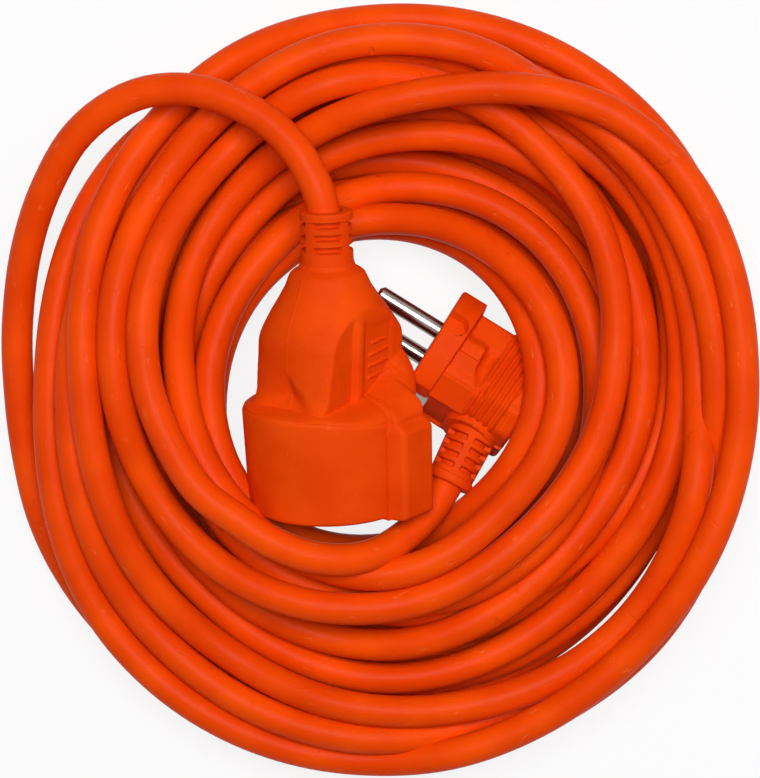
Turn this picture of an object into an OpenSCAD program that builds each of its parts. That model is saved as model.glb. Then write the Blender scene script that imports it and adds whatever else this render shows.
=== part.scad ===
// Extension cord: ten metres of three-core cable in a piled coil, with an angled earthed plug
// at one end and a round trailing socket at the other. Millimetres, +Z up, lying on Z = 0.
// The socket's own frame has its face at z = 0, its cable leaving along +z, the earth clips
// along x and the two pin holes along y. The plug's own frame has its face at z = 0, its pins
// pointing along +z and lined up along x, and its cable leaving towards -y.

/* [Cable] */
// Outer diameter of the sheath
cable_d = 8.4; // [8:0.1:8.5]
// Gap left between neighbouring turns of one layer
turn_gap = 0.7; // [0.6:0.05:0.8]
// Rise from one layer of turns to the next, over the sheath's diameter
layer_gap = 0.2; // [0:0.05:0.4]
// Gap between the leads that lie on top of the coil and its top layer
deck_gap = 0.5; // [0.2:0.1:1]
// Diameter of one insulated core
core_d = 2.8; // [2.4:0.1:2.8]
// Distance of the cores from the middle of the cable
core_offset = 2.1; // [2:0.05:2.3]

/* [Coil] */
// Centreline radius of the outermost turn
coil_outer_r = 96.6; // [96:0.1:97]
// How much that radius grows across Y, and shrinks across X
coil_oval = 3; // [2.5:0.1:3.5]
// Turns in each of the two lower layers
lower_turns = 4.85; // [4.8:0.01:4.9]
// Turns in each of the two upper layers
upper_turns = 4.72; // [4.68:0.01:4.76]
// Direction in which the bottom layer starts, from +X
coil_start_angle = 225; // [215:1:235]
// Rings in one turn
turn_rings = 24; // [16:1:24]

/* [Socket place] */
// Middle of the socket's face, to the right
socket_x = -12.7; // [-16:0.1:-10]
// Middle of the socket's face, forwards
socket_y = -29.4; // [-33:0.1:-26]
// Height of its lower side block above the ground
socket_lift = 6; // [4:0.5:8]
// Rise of the socket's axis towards its cable
socket_tilt = 16; // [14:0.5:20]
// Turn of the socket about its own axis
socket_roll = 40; // [36:1:44]
// Turn of the socket's axis to the left
socket_yaw = 1.5; // [0:0.5:3]

/* [Socket] */
// Outer radius of the collar at its face
collar_front_r = 21.5; // [21.4:0.1:22]
// Outer radius of the collar at its shoulder
collar_rear_r = 22.6; // [22.4:0.1:23]
// Length of the collar
collar_l = 28.5; // [27.5:0.1:30]
// Rounding of the collar's edges
collar_edge = 1.2; // [0.4:0.1:2]
// Slope inwards of the shoulder behind the collar
shoulder_in = 5; // [2:0.5:5.5]
// Length of that shoulder
shoulder_l = 4.5; // [2:0.5:6]
// Radius of the recess for a plug
recess_r = 19.5; // [19:0.1:19.8]
// Depth of the recess
recess_depth = 17.5; // [17:0.1:18.5]
// Width of the rib that guides a plug
guide_w = 4.6; // [4:0.1:5]
// Height of that rib
guide_h = 1.6; // [1:0.1:2]
// Distance of the guide ribs' front ends from the face
guide_inset = 2.5; // [1:0.5:5]
// Reach of a side block from the axis
block_reach = 26.8; // [26:0.1:28]
// Width of a side block
block_w = 19; // [16:0.5:21]
// Bevel at the rear corner of a side block
block_bevel = 3; // [1:0.5:5]
// Bevel along the sides of a side block
block_edge = 1.6; // [0.5:0.1:2]
// Narrowing of a side block towards the face
block_draft = 0.8; // [0:0.1:1.5]
// Half width of the grip across the earth clips
grip_x = 13; // [12.6:0.1:14]
// Half width of the grip across the pin holes
grip_y = 17; // [16.6:0.1:17.6]
// Corner radius of the grip at the collar
grip_corner_r = 4; // [3:0.5:6]
// Where the grip starts to narrow
grip_end = 45; // [43:0.5:46]
// Where the waist of the taper lies
waist_at = 56; // [55:0.5:57]
// Radius at that waist
waist_r = 12.4; // [11.8:0.1:13]
// Radius where the taper ends at the bend relief
neck_r = 9.6; // [9.2:0.1:10]
// Where the body ends and its bend relief starts
body_end = 64.5; // [63.5:0.1:66]
// Number of raised grip bars
bar_count = 4; // [2:1:5]
// Height of a grip bar
bar_h = 0.6; // [0.3:0.1:1]

/* [Socket insides] */
// Radius of the insert's front disc
insert_r = 17.5; // [17:0.1:18]
// Thickness of the insert's front disc
insert_t = 4; // [3.5:0.1:4.5]
// Radius of the towers round the contacts
tower_r = 5; // [4.6:0.1:5.2]
// Length of the towers behind the disc
tower_l = 16.5; // [16:0.1:17.5]
// Thickness of the insert's rear cover
cover_t = 2.9; // [2:0.1:3.2]
// Outer radius of a contact sleeve
sleeve_r = 3.4; // [3.1:0.1:3.8]
// Length of a contact sleeve's bore
sleeve_l = 12; // [11:0.1:12.6]
// Thickness of the closed end of a contact sleeve
sleeve_end = 1.4; // [1:0.1:1.6]
// Thickness of the earth strips
strip_t = 0.8; // [0.5:0.1:1]
// Width of the earth strips
strip_w = 7; // [5:0.1:8]
// Distance of the earth clip's arms from the axis
clip_reach = 20.6; // [20.2:0.1:21.2]
// Distance of the clip's tips from the face
clip_inset = 3; // [2:0.5:5]
// Height of the bulge at a clip's tip
clip_bulge = 1.2; // [0.8:0.1:1.6]
// Outer radius of a crimp barrel
crimp_r = 2; // [1.8:0.1:2.1]
// Length of a crimp barrel
crimp_l = 4; // [3:0.1:4.2]

/* [Plug place] */
// Middle of the plug's face, to the right
plug_x = 13.6; // [12:0.05:14]
// Middle of the plug's face, forwards
plug_y = 12; // [9:0.1:12]
// Direction in which the pins point, from +X
plug_heading = 148.3; // [144:0.1:152]
// Rise of the line through both pins
pin_line_rise = 66; // [60:1:70]

/* [Plug] */
// Radius of the front flange
flange_r = 18.5; // [18:0.1:18.8]
// Distance of the flange's flats from the axis
flat_reach = 16; // [15.6:0.1:16.4]
// Rounding of the flange's front edge
flange_edge = 0.8; // [0.4:0.1:1]
// Thickness of the front flange
flange_t = 7.5; // [7:0.1:8.5]
// Depth of the plug from its face to its back
plug_depth = 30.5; // [30:0.1:31.5]
// Half width of the grip behind the flange, along the pin line
grip_half_w = 14; // [13.8:0.1:14.4]
// Half height of the grip on the side away from the cable
grip_half_h = 15.5; // [15:0.1:16]
// Half height of the grip on the cable's side
grip_low_h = 13; // [12.6:0.1:13.4]
// Thickness of the back plate
back_t = 4.5; // [3.5:0.1:5]
// Half width of the back plate along the pin line
back_half_w = 15.2; // [14.8:0.1:15.6]
// Radius of the back plate's corners
back_r = 16.4; // [16:0.1:16.8]
// Height of the flat block beside the finger recess
rest_w = 15.6; // [15:0.1:16]
// Length of that block along the cable's direction
rest_l = 8; // [6:0.5:9]
// Distance of the block's rear end from the back of the plug
rest_inset = 10; // [8:0.5:12]
// Number of ridges on each side of the grip
ridge_count = 5; // [3:1:6]
// Radius of a ridge
ridge_r = 0.7; // [0.5:0.1:0.9]
// Spacing of the ridges
ridge_pitch = 2; // [1.8:0.1:2.2]
// Depth of the groove for a socket's guide rib
groove_h = 2.4; // [2:0.1:3]
// Length of that groove
groove_l = 6; // [5:0.1:6.5]
// Radius of the carrier that holds the pins
bridge_r = 13.6; // [13.2:0.1:13.8]
// Thickness of the carrier
bridge_t = 6; // [5:0.1:6.5]
// Distance of the earth hole from the pin line
earth_hole_y = 10; // [9.6:0.1:10.2]
// Room between the earth contact and the back of the plug
earth_contact_room = 10.5; // [10:0.1:12]
// Outer radius of the earth contact
earth_contact_r = 3.2; // [3:0.1:3.4]

/* [Pins] */
// Radius of a pin
pin_r = 2.4; // [2.3:0.05:2.45]
// Length of a pin in front of the face
pin_l = 19; // [18:0.1:19.5]
// Distance between the pins
pin_pitch = 19; // [18.6:0.1:19.2]
// Radius of a pin's root in the carrier
root_r = 2; // [1.8:0.05:2.2]
// Length of a pin's root
root_l = 10; // [9:0.1:11]
// Bevel at a pin's tip
tip_bevel = 0.9; // [0.5:0.1:1.2]

/* [Bend reliefs] */
// Radius of the socket's bend relief
socket_relief_r = 6.75; // [6.4:0.05:7]
// Length of the socket's bend relief
socket_relief_l = 15.5; // [14:0.1:17]
// Rows of slots in it
socket_relief_rows = 3; // [2:1:4]
// Radius of the plug's bend relief at its root
plug_relief_root_r = 6.6; // [6.2:0.1:7]
// Radius of the plug's bend relief at its tip
plug_relief_tip_r = 5.9; // [5.7:0.1:6.2]
// Length of the plug's bend relief
plug_relief_l = 16; // [15:0.1:17]
// Rows of slots in it
plug_relief_rows = 4; // [2:1:5]
// Where it starts, from the pin line
plug_relief_at = 14.8; // [14.6:0.1:15.4]
// Depth of its start behind the plug's face
plug_relief_depth = 21.6; // [21:0.1:22.5]
// Lean of the plug's bend relief away from the pins
relief_lean = 5; // [3:1:8]
// Sag of the plug's bend relief towards the ground
relief_sag = 16; // [12:1:18]
// Height of a slot along the cable
slot_h = 1.6; // [1.2:0.1:2]
// Width of a slot across the cable
slot_w = 6; // [5:0.1:6]
// Height of the closed ring at a relief's tip
ring_h = 2.6; // [2:0.1:3.2]

/* [Fits] */
// Radial gap between a pin and the bore that takes it
pin_fit = 0.1; // [0.06:0.01:0.4]
// Gap round a piece that is moulded in
seat_gap = 0.1; // [0.05:0.01:0.2]
// Extra width of a plug's groove over a socket's rib
groove_gap = 0.6; // [0.3:0.1:1]
// Radial gap between a pin and the hole in the insert
hole_gap = 0.5; // [0.3:0.05:0.7]

/* [Hidden] */
$fn = 64;

cable_r = cable_d / 2;
// Half the height of the coil's six-sided section, which lies flat side down
section_half = cable_r * cos(30);
// The coil is cut flat underneath by a tenth of the sheath's diameter
flat_cut = cable_d / 10;
floor_z = cable_r - flat_cut;
turn_pitch = cable_d + turn_gap;
layer_pitch = cable_d + layer_gap;
// Middle of the coil, so that coil and leads together are centred
coil_x = 4.5;
coil_y = 0.4;
lead_sides = 12;
lead_steps = 2;

// ---- Vectors and turns ----

function unit(v) = v / norm(v);
function turned_x(p, a) = [p.x, p.y * cos(a) - p.z * sin(a), p.y * sin(a) + p.z * cos(a)];
function turned_y(p, a) = [p.x * cos(a) + p.z * sin(a), p.y, p.z * cos(a) - p.x * sin(a)];
function turned_z(p, a) = [p.x * cos(a) - p.y * sin(a), p.x * sin(a) + p.y * cos(a), p.z];
function ease(x) = let (c = min(max(x, 0), 1)) c * c * (3 - 2 * c);

// ---- Places of the socket and the plug ----

socket_z = socket_lift
           + cos(socket_tilt) * (block_reach * sin(socket_roll) + block_w / 2 * cos(socket_roll));
socket_at = [socket_x, socket_y, socket_z];
socket_turn = socket_tilt - 90;
// The flange's rim stands on the ground
plug_at = [plug_x, plug_y, flange_r];
plug_roll = 270 - pin_line_rise;

// A point of the socket's own frame, where it lies
function socket_point(p) =
    socket_at + turned_z(turned_x(turned_z(p, -socket_roll), socket_turn), socket_yaw);
// A point of the plug's own frame, where it lies
function plug_point(p) =
    plug_at + turned_z(turned_y(turned_z(p, plug_roll), 90), plug_heading);

module at_socket() {
    translate(socket_at)
        rotate([socket_turn, 0, socket_yaw])
        rotate([0, 0, -socket_roll])
        children();
}

module at_plug() {
    translate(plug_at)
        rotate([0, 90, plug_heading])
        rotate([0, 0, plug_roll])
        children();
}

// ---- Coil: out to in, in to out, out to in, in to out, a layer at a time ----

turn_in_1 = lower_turns;
turn_out = 2 * lower_turns;
turn_in_2 = turn_out + upper_turns;
turn_end = turn_out + 2 * upper_turns;

// Turns from the outermost place of the layer that is being laid after u turns
function turns_inward(u) =
    u <= turn_in_1 ? u : u <= turn_out ? turn_out - u : u <= turn_in_2 ? u - turn_out : turn_end - u;
// Layers climbed after u turns, each in the half turn where the spiral reverses
function climbed(u) =
    ease(2 * (u - turn_in_1) + 0.5) + ease(2 * (u - turn_out) + 0.5) + ease(2 * (u - turn_in_2) + 0.5);
function coil_point(u) =
    let (a = coil_start_angle + 360 * u,
         r = coil_outer_r - turn_pitch * turns_inward(u) - coil_oval * cos(2 * a))
    [coil_x + r * cos(a), coil_y + r * sin(a), floor_z + layer_pitch * climbed(u)];

coil_count = round(turn_end * turn_rings);
coil_turns = [for (i = [0:coil_count]) coil_point(turn_end * i / coil_count)];
coil_in = unit(coil_turns[1] - coil_turns[0]);
coil_out = unit(coil_turns[coil_count] - coil_turns[coil_count - 1]);
coil_path = concat([coil_turns[0] - cable_d * coil_in],
                   coil_turns,
                   [coil_turns[coil_count] + cable_d * coil_out]);

// ---- Free leads ----

// Where the sheath ends inside the socket
socket_sheath = 53;
socket_relief_end = body_end + socket_relief_l;
// Direction and ends of the plug's bend relief, in the plug's own frame
relief_dir = [-sin(relief_sag),
              -cos(relief_sag) * cos(relief_lean),
              -cos(relief_sag) * sin(relief_lean)];
relief_start = [0, -plug_relief_at, -plug_relief_depth];
plug_sheath = relief_start - 8 * relief_dir;
plug_relief_end = relief_start + plug_relief_l * relief_dir;

// The socket's lead: over the coil, down its outer side and under the outer turns
socket_route = [[-21, 66, 54.5], [-36, 76, 51.5], [-54, 78.5, 45], [-69, 73, 37],
                [-82, 63, 27.5], [-90, 49, 20], [-95.5, 31, 13.5], [-96.8, 12, 8.5],
                [-96.3, -8, 5], [-92.5, -28, 3.6], [-84.5, -43, 3.4]];
// Height of a lead that lies on the coil's top layer
deck = floor_z + 3 * layer_pitch + cable_d + deck_gap;
// The plug's lead: out of the hole, twice round on top of the coil and down beside it,
// with its heights from there
plug_route = [[8.5, -39.5, -5], [-3, -44, -0.6], [-20, -44, 0], [-36, -36, 0], [-49, -24, 0],
              [-57, -7, 0], [-60, 12, 0], [-58, 30, 0], [-51, 47, 0], [-39, 62, 0],
              [-22, 74, 0], [-1, 80.5, 0], [20, 78, 0], [38, 66, 0], [50, 52, 0],
              [58, 34, 0], [61, 14, 0], [59, -7, 0], [52, -25, 0], [39, -40, 0],
              [22, -51, 0], [2, -57, 0], [-18, -56, 0], [-37, -49, 0], [-53, -36, 0],
              [-65, -18, 0], [-69.5, 3, 0], [-69, 24, 0], [-64, 42, 0], [-54, 60, 0],
              [-39, 75, 0], [-21, 86, 0], [-1, 90.5, 0], [19, 89, 0], [39, 83, 0],
              [58, 75, 0], [74, 62.5, 0], [86, 44, 0], [93.5, 24, 0], [96.8, 2, 0],
              [96.8, -19, -0.2], [91, -38.5, -1], [80, -58, -3], [67, -74.5, -5.5],
              [45, -90.5, -7.5]];

function between(a, b, c, d, t) =
    b + t * (c - a) / 2 + t * t * (2 * a - 5 * b + 4 * c - d) / 2
      + t * t * t * (3 * b - a - 3 * c + d) / 2;
// A smooth curve through all points but the first and the last, with so many steps between two
function curve(p, steps) =
    concat([for (i = [1:len(p) - 3]) for (j = [0:steps - 1])
                between(p[i - 1], p[i], p[i + 1], p[i + 2], j / steps)],
           [p[len(p) - 2]]);

function socket_lead_path(steps) =
    let (sheath = socket_point([0, 0, socket_sheath]),
         root = socket_point([0, 0, body_end]),
         exit = socket_point([0, 0, socket_relief_end]),
         free = socket_point([0, 0, socket_relief_end + cable_d]))
    concat([sheath, root, exit],
           curve(concat([exit, free], socket_route,
                        [coil_path[0] - cable_d * coil_in, coil_path[0]]), steps),
           [coil_path[0]]);

function plug_lead_path(steps) =
    let (last = coil_path[len(coil_path) - 1],
         exit = plug_point(plug_relief_end),
         free = plug_point(plug_relief_end + cable_d * relief_dir))
    concat([plug_point(plug_sheath), exit],
           curve(concat([exit, free], [for (p = plug_route) p + [0, 0, deck]],
                        [last + cable_d * coil_out, last]), steps),
           [last]);

// ---- Round tubes along a path ----

function path_dir(p, i) = unit(p[min(i + 1, len(p) - 1)] - p[max(i - 1, 0)]);
// A ring of points round the path, square to it and to a hint, none of them below the lowest height
function path_ring(p, i, r, sides, hint, lowest) =
    let (d = path_dir(p, i), side = unit(cross(d, hint)), up = cross(side, d))
    [for (k = [0:sides - 1])
        let (q = p[i] + r * (cos(360 * k / sides) * side + sin(360 * k / sides) * up))
        [q.x, q.y, max(q.z, lowest)]];

module tube(path, r, sides, hint = [0, 0, 1], lowest = 0) {
    last = len(path) - 1;
    points = [for (i = [0:last]) each path_ring(path, i, r, sides, hint, lowest)];
    walls = [for (i = [0:last - 1]) for (k = [0:sides - 1])
        let (a = i * sides + k, b = i * sides + (k + 1) % sides)
        each [[a, b, b + sides], [a, b + sides, a + sides]]];
    start = [for (k = [1:sides - 2]) [0, k + 1, k]];
    end = [for (k = [1:sides - 2]) [last * sides, last * sides + k, last * sides + k + 1]];
    polyhedron(points = points, faces = concat(start, walls, end), convexity = 20);
}

// ---- What the cable measures, printed when the file is run ----

function path_length(p) =
    let (steps = [for (i = [1:len(p) - 1]) norm(p[i] - p[i - 1])]) steps * [for (s = steps) 1];
// Gap between two six-sided sections that lie flat side down, apart by d
function section_gap(d) =
    let (flat = norm([d.x, d.y]))
    max(abs(d.z), flat * cos(30) + abs(d.z) * sin(30)) - 2 * section_half;
coil_gap = min([for (i = [0:coil_count]) for (k = [1:ceil(turn_end)]) for (j = [-1:1])
    let (n = i + k * turn_rings + j)
    if (n <= coil_count) section_gap(coil_turns[n] - coil_turns[i])]);
fine_socket_lead = socket_lead_path(6);
fine_plug_lead = plug_lead_path(6);
function path_gap(p, q) = min([for (a = p) for (b = q) norm(a - b)]) - cable_d;
// Points of one path that are so many steps apart along it
self_gap = min([for (i = [0:len(fine_plug_lead) - 1]) for (n = [i + 30:1:len(fine_plug_lead) - 1])
    norm(fine_plug_lead[n] - fine_plug_lead[i])]) - cable_d;
inner_turns = [for (i = [turn_rings:coil_count - turn_rings]) coil_turns[i]];
echo(str("Least gap of the coil to itself: ", coil_gap, " mm"));
echo(str("Least gap of the plug's lead to itself: ", self_gap, " mm"));
echo(str("Least gap of the two leads: ", path_gap(fine_socket_lead, fine_plug_lead), " mm"));
echo(str("Least gap of the leads to the coil: socket ", path_gap(fine_socket_lead, inner_turns),
         " mm, plug ", path_gap(fine_plug_lead, inner_turns), " mm"));
echo(str("Cable: socket lead ", path_length(fine_socket_lead), ", coil ", path_length(coil_path),
         ", plug lead ", path_length(fine_plug_lead), ", whole ",
         path_length(fine_socket_lead) + path_length(coil_path) + path_length(fine_plug_lead),
         " mm"));

// ---- Cable ----

module cable_coil() {
    color("orangered")
        tube(coil_path, cable_r, 6);
}

module socket_lead() {
    color("orangered")
        tube(socket_lead_path(lead_steps), cable_r, lead_sides);
}

module plug_lead() {
    color("orangered")
        tube(plug_lead_path(1), cable_r, lead_sides);
}

// ---- Socket, in its own frame ----

insert_back = recess_depth + insert_t;
// The earth strip lies on the back of the insert's disc
strip_back = insert_back + strip_t;
sleeve_at = strip_back + seat_gap;
tower_end = insert_back + tower_l;
cover_end = tower_end + cover_t;
socket_core_at = sleeve_at + sleeve_l + sleeve_end;
pocket_x = sleeve_r + 4.6;
pocket_y = pin_pitch / 2 + tower_r + seat_gap;
pin_hole_r = pin_r + hole_gap;
contact_bore_r = pin_r + pin_fit;
sheath_bore_r = cable_r + seat_gap;

// One of the two pin places, side 1 or -1
module at_contact(side) {
    translate([0, side * pin_pitch / 2, 0])
        children();
}

// Four corner posts of a grip section
module grip_section(at, half_x, half_y, corner_r) {
    for (x = [-1, 1], y = [-1, 1])
        translate([x * (half_x - corner_r), y * (half_y - corner_r), at])
            cylinder(r = corner_r, h = 0.02, $fn = 32);
}

module collar() {
    rotate_extrude()
        polygon([[0, 0], [collar_front_r - collar_edge / 2, 0], [collar_front_r, collar_edge / 2],
                 [collar_rear_r, collar_l - collar_edge], [collar_rear_r - collar_edge, collar_l],
                 [collar_rear_r - shoulder_in, collar_l + shoulder_l], [0, collar_l + shoulder_l]]);
}

// One side block over an earth clip; side 1 or -1
module side_block(side) {
    half = block_w / 2;
    intersection() {
        rotate([90, 0, 0])
            translate([0, 0, -half])
            linear_extrude(block_w)
            polygon([[0, 0], [side * (block_reach - block_draft), 0],
                     [side * block_reach, collar_l - 2 * block_bevel],
                     [side * (block_reach - block_bevel), collar_l + block_bevel / 2],
                     [0, collar_l + block_bevel / 2]]);
        linear_extrude(collar_l + block_bevel)
            polygon([[0, -half], [side * (block_reach - block_edge), -half],
                     [side * block_reach, block_edge - half], [side * block_reach, half - block_edge],
                     [side * (block_reach - block_edge), half], [0, half]]);
    }
}

module socket_body() {
    color("orangered")
    difference() {
        union() {
            collar();
            side_block(1);
            side_block(-1);
            hull() {
                grip_section(collar_l - 1, grip_x + 0.6, grip_y + 0.8, grip_corner_r);
                grip_section(grip_end, grip_x, grip_y, grip_corner_r + 2.5);
            }
            hull() {
                grip_section(grip_end, grip_x, grip_y, grip_corner_r + 2.5);
                grip_section(grip_end + 5.5, grip_x + 0.8, grip_y - 2, grip_x - 1);
            }
            hull() {
                grip_section(grip_end + 5.5, grip_x + 0.8, grip_y - 2, grip_x - 1);
                translate([0, 0, waist_at])
                    cylinder(r = waist_r, h = 0.02, $fn = 32);
            }
            hull() {
                translate([0, 0, waist_at])
                    cylinder(r = waist_r, h = 0.02, $fn = 32);
                translate([0, 0, body_end - 3])
                    cylinder(r = neck_r, h = 0.5, $fn = 32);
            }
            translate([0, 0, body_end - 3])
                cylinder(r1 = neck_r, r2 = socket_relief_r, h = 3);
            grip_bars();
        }
        socket_hollows();
    }
}

// Raised bars on the flat side of the grip
bar_pitch = 2.9;
bar_w = 1;
bar_l = 5.5;
bar_y = 6;
bars_from_end = 9;
module grip_bars() {
    for (side = [-1, 1], i = [0:bar_count - 1])
        translate([side * grip_x, side * bar_y, grip_end - bars_from_end + bar_pitch * (i - 0.5)])
            rotate([side * 20, 0, 0])
            cube([2 * bar_h, bar_l, bar_w], center = true);
}

module socket_hollows() {
    channel_x = clip_reach + strip_t + 1;
    // The recess, with its two guide ribs left standing
    difference() {
        translate([0, 0, -1])
            cylinder(r = recess_r, h = recess_depth + 1);
        for (side = [-1, 1])
            translate([-guide_w / 2, side * recess_r - guide_h, guide_inset])
                cube([guide_w, 2 * guide_h, recess_depth]);
    }
    // Slots for the earth clip, open at the face
    translate([-channel_x, -strip_w / 2 - seat_gap, -1])
        cube([2 * channel_x, strip_w + 2 * seat_gap, strip_back + seat_gap + 1]);
    // Seat of the insert's disc, then of its towers and cover
    translate([0, 0, recess_depth - seat_gap])
        cylinder(r = insert_r + seat_gap, h = insert_t + 2 * seat_gap);
    translate([-pocket_x, -pocket_y, insert_back])
        cube([2 * pocket_x, 2 * pocket_y, cover_end - insert_back + seat_gap]);
    // Room for the cores, closing in on the sheath
    translate([0, 0, cover_end])
        cylinder(r1 = grip_x - 1.4, r2 = sheath_bore_r, h = socket_sheath - cover_end);
    translate([0, 0, socket_sheath - 0.1])
        cylinder(r = sheath_bore_r, h = body_end - socket_sheath + 1);
}

module relief_slots(rows, r, at, pitch) {
    for (row = [0:rows - 1], turn = [0:90:270])
        rotate([0, 0, turn])
            translate([cable_r / 2, -slot_w / 2, at + row * pitch])
            cube([r, slot_w, slot_h]);
}

module socket_strain_relief() {
    color("orangered")
    translate([0, 0, body_end])
    difference() {
        union() {
            cylinder(r = socket_relief_r, h = socket_relief_l);
            translate([0, 0, socket_relief_l - ring_h])
                cylinder(r = socket_relief_r + 0.3, h = ring_h);
        }
        translate([0, 0, -1])
            cylinder(r = sheath_bore_r, h = socket_relief_l + 2);
        rotate([0, 0, socket_roll])
            relief_slots(socket_relief_rows, socket_relief_r, ring_h,
                         (socket_relief_l - 2 * ring_h) / socket_relief_rows);
    }
}

module socket_insert() {
    color("dimgray")
    difference() {
        union() {
            translate([0, 0, recess_depth])
                cylinder(r = insert_r, h = insert_t);
            for (side = [-1, 1])
                at_contact(side)
                    translate([0, 0, recess_depth])
                    cylinder(r = tower_r, h = insert_t + tower_l);
        }
        for (side = [-1, 1])
            at_contact(side) {
                translate([0, 0, recess_depth - 1])
                    cylinder(r = pin_hole_r, h = insert_t + 2);
                translate([0, 0, sleeve_at])
                    cylinder(r = sleeve_r + seat_gap, h = tower_l + 1);
            }
    }
}

module socket_insert_cover() {
    color("dimgray")
    difference() {
        translate([-pocket_x + seat_gap, -pocket_y + seat_gap, tower_end])
            cube([2 * (pocket_x - seat_gap), 2 * (pocket_y - seat_gap), cover_t]);
        for (y = [-pin_pitch / 2, 0, pin_pitch / 2])
            translate([0, y, tower_end - 1])
                cylinder(r = crimp_r + seat_gap, h = cover_t + 2);
    }
}

module contact_sleeve() {
    color("goldenrod")
    translate([0, 0, sleeve_at])
    difference() {
        cylinder(r = sleeve_r, h = sleeve_l + sleeve_end);
        translate([0, 0, -1])
            cylinder(r = contact_bore_r, h = sleeve_l + 1);
    }
}

module socket_live_contact() {
    at_contact(1) contact_sleeve();
}

module socket_neutral_contact() {
    at_contact(-1) contact_sleeve();
}

module socket_earth_clip() {
    color("silver")
    union() {
        translate([-clip_reach - strip_t, -strip_w / 2, insert_back])
            cube([2 * (clip_reach + strip_t), strip_w, strip_t]);
        for (side = [-1, 1])
            rotate([0, 0, side > 0 ? 0 : 180])
                translate([0, strip_w / 2, 0])
                rotate([90, 0, 0])
                linear_extrude(strip_w)
                polygon([[clip_reach, strip_back], [clip_reach + strip_t, strip_back],
                         [clip_reach + strip_t, clip_inset + 4],
                         [clip_reach + strip_t - clip_bulge, clip_inset + 1.5],
                         [clip_reach + strip_t, clip_inset], [clip_reach, clip_inset],
                         [clip_reach - clip_bulge, clip_inset + 1.5],
                         [clip_reach, clip_inset + 4]]);
    }
}

core_r = core_d / 2;
core_sides = 8;
// Places of the three cores in the sheath: live, neutral, earth
core_places = [[0, core_offset], [0, -core_offset], [-core_offset - 0.3, 0]];

module core(path, shade) {
    color(shade)
        tube(path, core_r, core_sides, [1, 0, 0], -plug_depth);
}

// A straight crimp barrel whose bore takes a core
module crimp() {
    difference() {
        cylinder(r = crimp_r, h = crimp_l);
        translate([0, 0, -1])
            cylinder(r = core_r + seat_gap, h = crimp_l + 2);
    }
}

module at_core(i) {
    translate([0, i == 2 ? 0 : (1 - 2 * i) * pin_pitch / 2, i == 2 ? strip_back : socket_core_at])
        children();
}

function socket_core(i) =
    let (from = [0, i == 2 ? 0 : (1 - 2 * i) * pin_pitch / 2,
                 (i == 2 ? strip_back : socket_core_at) + seat_gap],
         to = [core_places[i].x, core_places[i].y, socket_sheath],
         leave = cover_end + 0.5)
    [from, [from.x, from.y, leave], ([from.x, from.y, leave] + 2 * to) / 3, to - [0, 0, 2], to];

module socket_live_core() {
    core(socket_core(0), "saddlebrown");
}

module socket_neutral_core() {
    core(socket_core(1), "royalblue");
}

module socket_earth_core() {
    core(socket_core(2), "yellowgreen");
}

module socket_crimps() {
    color("silver")
    for (i = [0:2])
        at_core(i) crimp();
}

// ---- Plug, in its own frame ----

groove_w = guide_w + groove_gap;
cavity_r = back_r - 2;
cavity_x = pin_pitch / 2 + crimp_r + 0.4;
cavity_back = plug_depth - 2.5;
earth_contact_l = plug_depth - bridge_t - earth_contact_room;

module at_relief() {
    translate(relief_start)
        rotate([90 + relief_lean, 0, -relief_sag])
        children();
}

module plug_block(half_x, low, high, back, front) {
    translate([-half_x, -low, -back])
        cube([2 * half_x, low + high, back - front]);
}

module plug_body() {
    color("orangered")
    difference() {
        union() {
            // Front flange, round with two flats
            intersection() {
                translate([0, 0, -flange_t])
                    cylinder(r = flange_r, h = flange_t);
                plug_block(flange_r, flat_reach, flat_reach, flange_t, 0);
                // Slants at the front edges of the two flats
                rotate([90, 0, 90])
                    translate([0, 0, -flange_r])
                    linear_extrude(2 * flange_r)
                    polygon([[-flat_reach, -flange_t], [flat_reach, -flange_t],
                             [flat_reach, -flange_edge], [flat_reach - flange_edge, 0],
                             [flange_edge - flat_reach, 0], [-flat_reach, -flange_edge]]);
            }
            // Grip behind it, narrower along the pin line
            intersection() {
                translate([0, 0, -plug_depth])
                    cylinder(r1 = back_r, r2 = flange_r - 1, h = plug_depth - flange_t + 0.1);
                plug_block(grip_half_w, grip_low_h, grip_half_h, plug_depth, flange_t - 0.1);
            }
            // Plate at the back
            intersection() {
                translate([0, 0, -plug_depth])
                    cylinder(r = back_r, h = back_t);
                plug_block(back_half_w, back_half_w, grip_half_h, plug_depth, plug_depth - back_t);
            }
            // Flat blocks beside the finger recesses
            plug_block(rest_w, grip_low_h, rest_l - grip_low_h, plug_depth - rest_inset,
                       flange_t - 0.1);
            ridges();
            // Root of the bend relief
            at_relief()
                translate([0, 0, -5])
                cylinder(r = plug_relief_root_r + 0.6, h = 5);
        }
        plug_hollows();
    }
}

// Grip ridges along the cable's direction, on both sides across the pin line
module ridges() {
    for (side = [-1, 1], i = [0:ridge_count - 1])
        translate([side * grip_half_w, -grip_low_h + 2, -plug_depth + back_t + ridge_pitch * (i + 0.5)])
            rotate([-90, 0, 0])
            cylinder(r = ridge_r, h = grip_low_h + grip_half_h - 7);
}

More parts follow.
